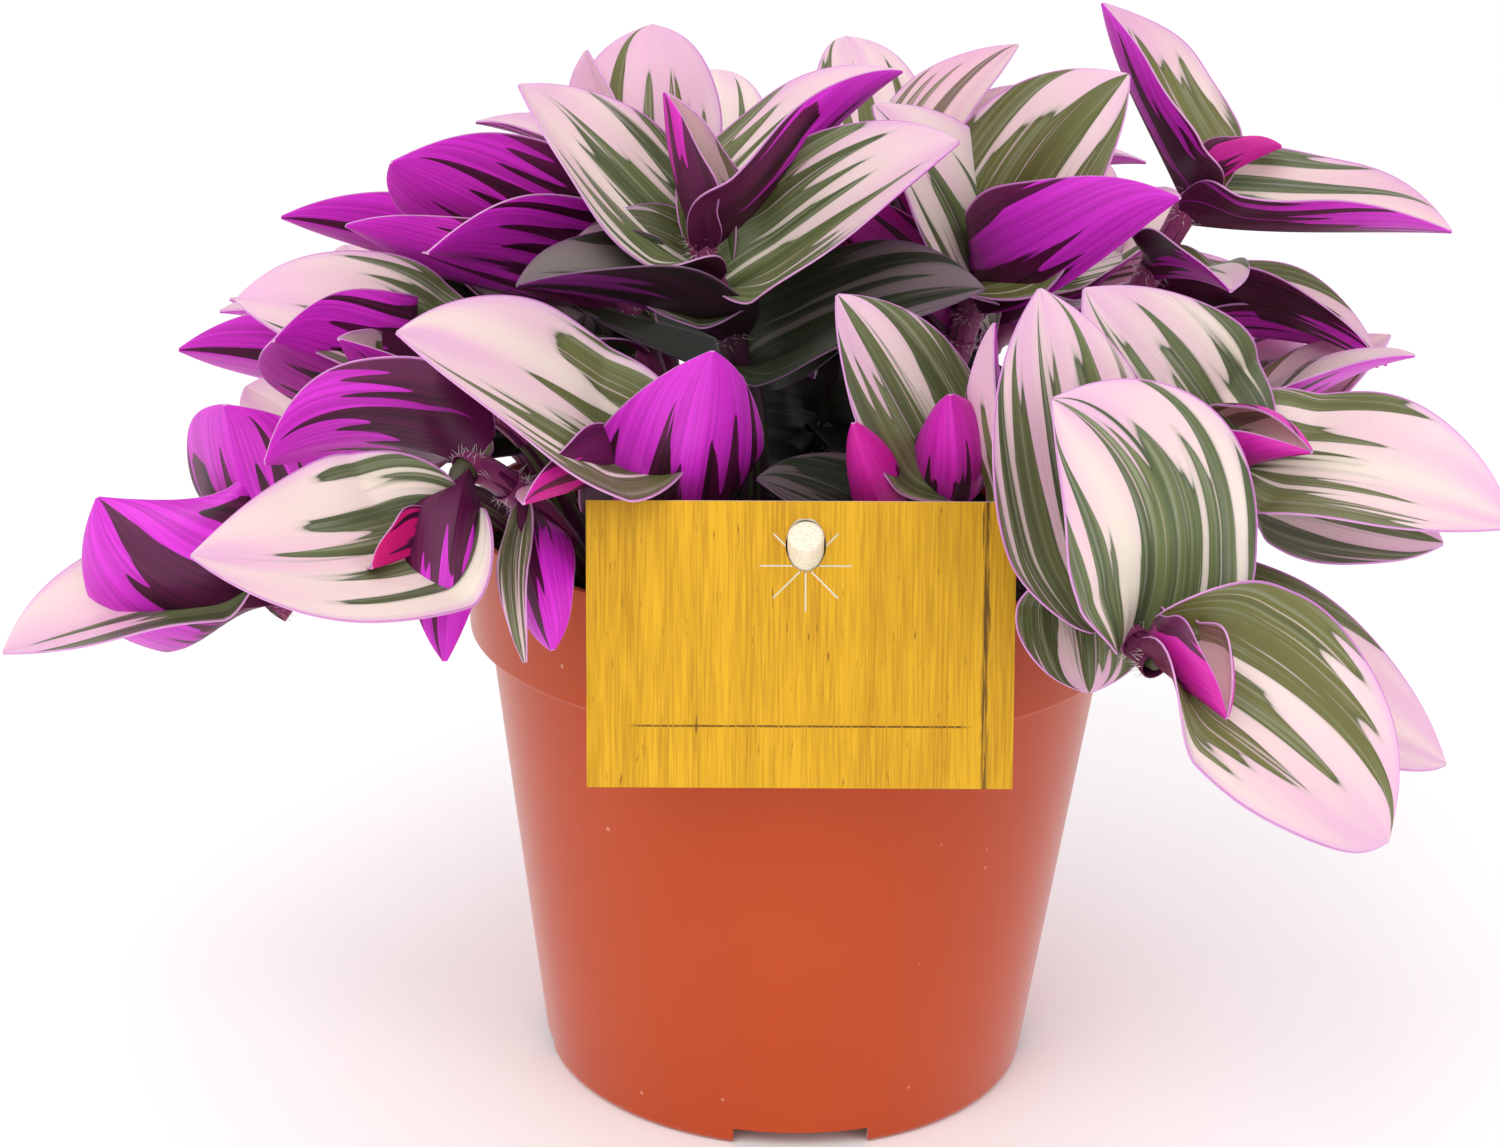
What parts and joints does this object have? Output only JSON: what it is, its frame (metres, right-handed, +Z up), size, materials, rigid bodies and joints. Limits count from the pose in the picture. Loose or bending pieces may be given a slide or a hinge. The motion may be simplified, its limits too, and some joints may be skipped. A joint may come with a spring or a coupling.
{
  "type": "potted tradescantia",
  "caption": "Trailing houseplant with pink, cream and green striped leaves, magenta beneath, in a round plastic nursery pot, with a plain wood-print card on a stick.",
  "frame": {"origin": "the pot's axis at the surface that it stands on", "axes": "+Z up along the pot's axis, -Y towards the front, where the card is, +X to the right seen from the front"},
  "size_m": [0.2422, 0.2075, 0.1951],
  "materials": {
    "foliage": "smooth, slightly waxy leaves, striped green, cream and pink above and magenta below, fine hairs on stems and sheaths",
    "pot_plastic": "moulded terracotta-coloured polypropylene, satin",
    "potting_soil": "dark crumbly potting mix",
    "stick_wood": "bare turned softwood",
    "printed_card": "card printed with a yellow wood grain, satin, white cut edges"
  },
  "bodies": {
    "root": {"shoot_front_left": "foliage", "shoot_far_left": "foliage", "shoot_left_of_card": "foliage", "shoot_left": "foliage", "shoot_upper_left": "foliage", "shoot_top_centre": "foliage", "shoot_top_behind": "foliage", "shoot_top_right": "foliage", "shoot_upper_right": "foliage", "shoot_right_behind": "foliage", "shoot_right": "foliage", "shoot_front_right": "foliage", "shoot_behind_card": "foliage", "shoot_inner_right": "foliage", "shoot_inner_left": "foliage", "shoot_back_right_low": "foliage", "shoot_back_right": "foliage", "shoot_back_middle": "foliage", "shoot_back_left": "foliage", "shoot_back_left_low": "foliage", "shoot_back_upper_right": "foliage", "shoot_back_upper_left": "foliage", "pot": "pot_plastic", "soil": "potting_soil", "label_stick": "stick_wood", "label_card": "printed_card"}
  },
  "joints": []
}
